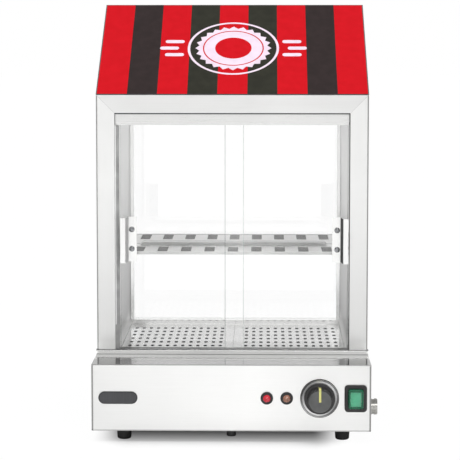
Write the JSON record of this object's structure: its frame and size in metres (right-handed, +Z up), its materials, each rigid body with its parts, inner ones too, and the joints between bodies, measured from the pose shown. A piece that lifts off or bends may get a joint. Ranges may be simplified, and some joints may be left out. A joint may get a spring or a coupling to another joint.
{
  "type": "hot dog steamer",
  "caption": "Countertop hot dog steamer: water-bath base with controls under a glazed cabinet with sliding glass doors, perforated trays, a shelf and a sloped striped sign.",
  "frame": {"origin": "on the surface it stands on, under the middle of the whole outline, drain cap, knob and cable gland included", "axes": "+Z up, front with the controls and doors towards -Y, +X to the right seen from the front"},
  "size_m": [0.3622, 0.3852, 0.547],
  "materials": {
    "brushed_shell": "brushed",
    "polished_deck": "polished",
    "cabinet_steel": "satin",
    "liner_steel": "bright",
    "tank_steel": "matt",
    "track_metal": "satin anodised",
    "sign_enamel": "semi-gloss, red and dark stripes",
    "clear_glass": "clear",
    "handle_steel": "satin",
    "screw_steel": "plated",
    "gasket_silicone": "translucent white silicone",
    "foot_rubber": "matt",
    "black_plastic": "gloss",
    "nameplate": "matt, blank",
    "red_lens": "faceted",
    "amber_lens": "faceted",
    "knob_metal": "spun",
    "pointer_yellow": "gloss",
    "boot_green": "soft, clear green",
    "rocker_green": "translucent",
    "pipe_brass": "plated",
    "element_sheath": "heat-tinted",
    "ceramic_white": "matt",
    "grey_plastic": "matt"
  },
  "bodies": {
    "steamer": {"badge_plate": "nameplate", "base_bottom": "tank_steel", "base_deck": "polished_deck", "base_wrap": "brushed_shell", "bottom_track": "track_metal", "cabinet_side_left": "cabinet_steel", "cabinet_side_right": "cabinet_steel", "cable_gland": "black_plastic", "case_screws": "screw_steel", "drain_nut": "pipe_brass", "drain_pipe": "pipe_brass", "element_nuts": "pipe_brass", "foot_front_left": "foot_rubber", "foot_front_right": "foot_rubber", "foot_rear_left": "foot_rubber", "foot_rear_right": "foot_rubber", "foot_screws": "screw_steel", "front_header": "cabinet_steel", "gland_nut": "black_plastic", "heating_element": "element_sheath", "knob_dial": "knob_metal", "lamp_amber_holder": "black_plastic", "lamp_amber_lens": "amber_lens", "lamp_red_holder": "black_plastic", "lamp_red_lens": "red_lens", "rear_frame": "cabinet_steel", "rear_gasket": "gasket_silicone", "rear_glass": "clear_glass", "rear_panel": "brushed_shell", "roof_panel": "cabinet_steel", "safety_cutout": "grey_plastic", "shelf_rails": "liner_steel", "side_liner_left": "liner_steel", "side_liner_right": "liner_steel", "sign_box": "cabinet_steel", "sign_panel": "sign_enamel", "sill_bar": "cabinet_steel", "switch_boot": "boot_green", "switch_housing": "black_plastic", "terminal_block": "ceramic_white", "thermostat_body": "grey_plastic", "thermostat_probe": "pipe_brass", "top_track": "track_metal", "water_tank": "tank_steel"},
    "door_left": {"door_left_glass": "clear_glass", "door_left_handle": "handle_steel", "door_left_screws": "screw_steel"},
    "door_right": {"door_right_glass": "clear_glass", "door_right_handle": "handle_steel", "door_right_screws": "screw_steel"},
    "tray_left": {"steam_tray_left": "liner_steel"},
    "tray_right": {"steam_tray_right": "liner_steel"},
    "shelf": {"shelf": "liner_steel"},
    "knob": {"knob": "knob_metal", "knob_pointer": "pointer_yellow", "thermostat_shaft": "screw_steel"},
    "rocker": {"switch_rocker": "rocker_green"},
    "reset": {"reset_button": "black_plastic"},
    "drain_seal": {"drain_seal": "foot_rubber"},
    "drain_cap": {"drain_cap": "screw_steel"}
  },
  "joints": [
    {"name": "door_left_slide", "type": "slide", "parent": "steamer", "child": "door_left", "axis": [1, 0, 0], "range_m": [-0.005, 0.112]},
    {"name": "door_right_slide", "type": "slide", "parent": "steamer", "child": "door_right", "axis": [1, 0, 0], "range_m": [-0.112, 0]},
    {"name": "tray_left_lift", "type": "slide", "parent": "steamer", "child": "tray_left", "axis": [0, 0, 1], "range_m": [0, 0.08]},
    {"name": "tray_right_lift", "type": "slide", "parent": "steamer", "child": "tray_right", "axis": [0, 0, 1], "range_m": [0, 0.08]},
    {"name": "shelf_lift", "type": "slide", "parent": "steamer", "child": "shelf", "axis": [0, 0, 1], "range_m": [0, 0.06]},
    {"name": "knob_turn", "type": "hinge", "parent": "steamer", "child": "knob", "pos_m": [0.10445, -0.1697, 0.056], "axis": [0, 1, 0], "range_deg": [0, 280]},
    {"name": "rocker_tilt", "type": "hinge", "parent": "steamer", "child": "rocker", "pos_m": [0.14955, -0.1677, 0.056], "axis": [-1, 0, 0], "range_deg": [0, 14]},
    {"name": "reset_press", "type": "slide", "parent": "steamer", "child": "reset", "axis": [0, 0, 1], "range_m": [0, 0.002], "stiffness_N_per_m": 400, "springref_m": -0.001},
    {"name": "drain_cap_travel", "type": "slide", "parent": "steamer", "child": "drain_seal", "axis": [1, 0, 0], "range_m": [0, 0.0091]},
    {"name": "drain_cap_turn", "type": "hinge", "parent": "drain_seal", "child": "drain_cap", "pos_m": [0.16895, -0.0897, 0.0292], "axis": [1, 0, 0], "range_deg": [0, 2160]}
  ],
  "couplings": [
    {"joint": "drain_cap_travel", "follows": "drain_cap_turn", "m_per_rad": 0.00023873}
  ]
}
